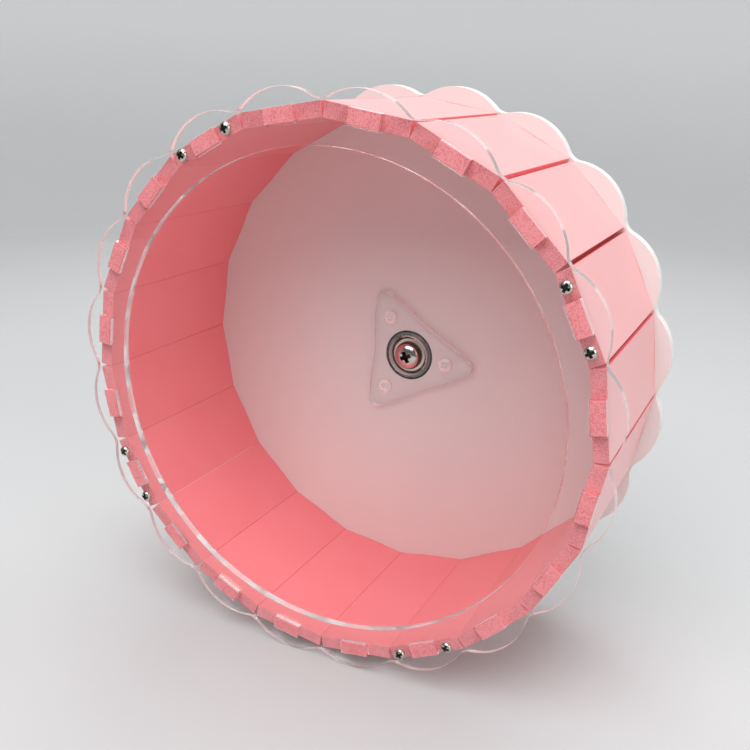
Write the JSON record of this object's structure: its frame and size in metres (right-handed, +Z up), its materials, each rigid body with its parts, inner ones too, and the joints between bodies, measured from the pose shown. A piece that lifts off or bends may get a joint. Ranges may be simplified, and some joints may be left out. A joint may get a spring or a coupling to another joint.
{
  "type": "rodent exercise wheel",
  "caption": "Open-fronted running drum for a small rodent: flat foam-board slats between a clear scalloped ring and a closed scalloped disc, spinning on a ball bearing and a bolt.",
  "frame": {"origin": "on the spin axis, in the plane where the flange of the axle nut meets the cage wall", "axes": "+Y along the spin axis from the open front to the wall side, +Z up, +X to the right seen from the front"},
  "size_m": [0.208, 0.1127, 0.208],
  "materials": {
    "pink_board": "foamed plastic board, smooth matte faces and fine cells on the cut edges",
    "white_board": "foamed plastic board, smooth matte faces",
    "clear_sheet": "clear cast acrylic with flame-bright cut edges",
    "clear_nylon": "clear moulded plastic",
    "nickel_steel": "bright nickel plate",
    "bearing_steel": "ground steel",
    "cage_brass": "stamped",
    "sleeve_metal": "turned"
  },
  "bodies": {
    "axle": {"axle_bolt": "nickel_steel", "axle_sleeve": "sleeve_metal", "axle_spacer": "sleeve_metal", "axle_nut": "nickel_steel", "bearing_inner_ring": "bearing_steel"},
    "drum": {"slat_01": "pink_board", "slat_02": "pink_board", "slat_03": "pink_board", "slat_04": "pink_board", "slat_05": "pink_board", "slat_06": "pink_board", "slat_07": "pink_board", "slat_08": "pink_board", "slat_09": "pink_board", "slat_10": "pink_board", "slat_11": "pink_board", "slat_12": "pink_board", "slat_13": "pink_board", "slat_14": "pink_board", "slat_15": "pink_board", "slat_16": "pink_board", "slat_17": "pink_board", "slat_18": "pink_board", "slat_19": "pink_board", "slat_20": "pink_board", "front_ring": "clear_sheet", "rear_disc": "white_board", "hub_plate_front": "clear_sheet", "hub_plate_rear": "clear_sheet", "hub_screws": "clear_nylon", "hub_nuts": "clear_nylon", "rim_screws_front": "nickel_steel", "rim_screws_rear": "nickel_steel", "bearing_outer_ring": "bearing_steel", "bearing_shield_front": "bearing_steel", "bearing_shield_rear": "bearing_steel"},
    "ball_cage": {"bearing_cage": "cage_brass", "bearing_balls": "bearing_steel"}
  },
  "joints": [
    {"name": "drum_spin", "type": "hinge", "parent": "axle", "child": "drum", "pos_m": [0, 0, 0], "axis": [0, 1, 0], "continuous": true},
    {"name": "cage_spin", "type": "hinge", "parent": "axle", "child": "ball_cage", "pos_m": [0, 0, 0], "axis": [0, 1, 0], "continuous": true}
  ],
  "couplings": [
    {"joint": "cage_spin", "follows": "drum_spin", "ratio": 0.5723}
  ]
}
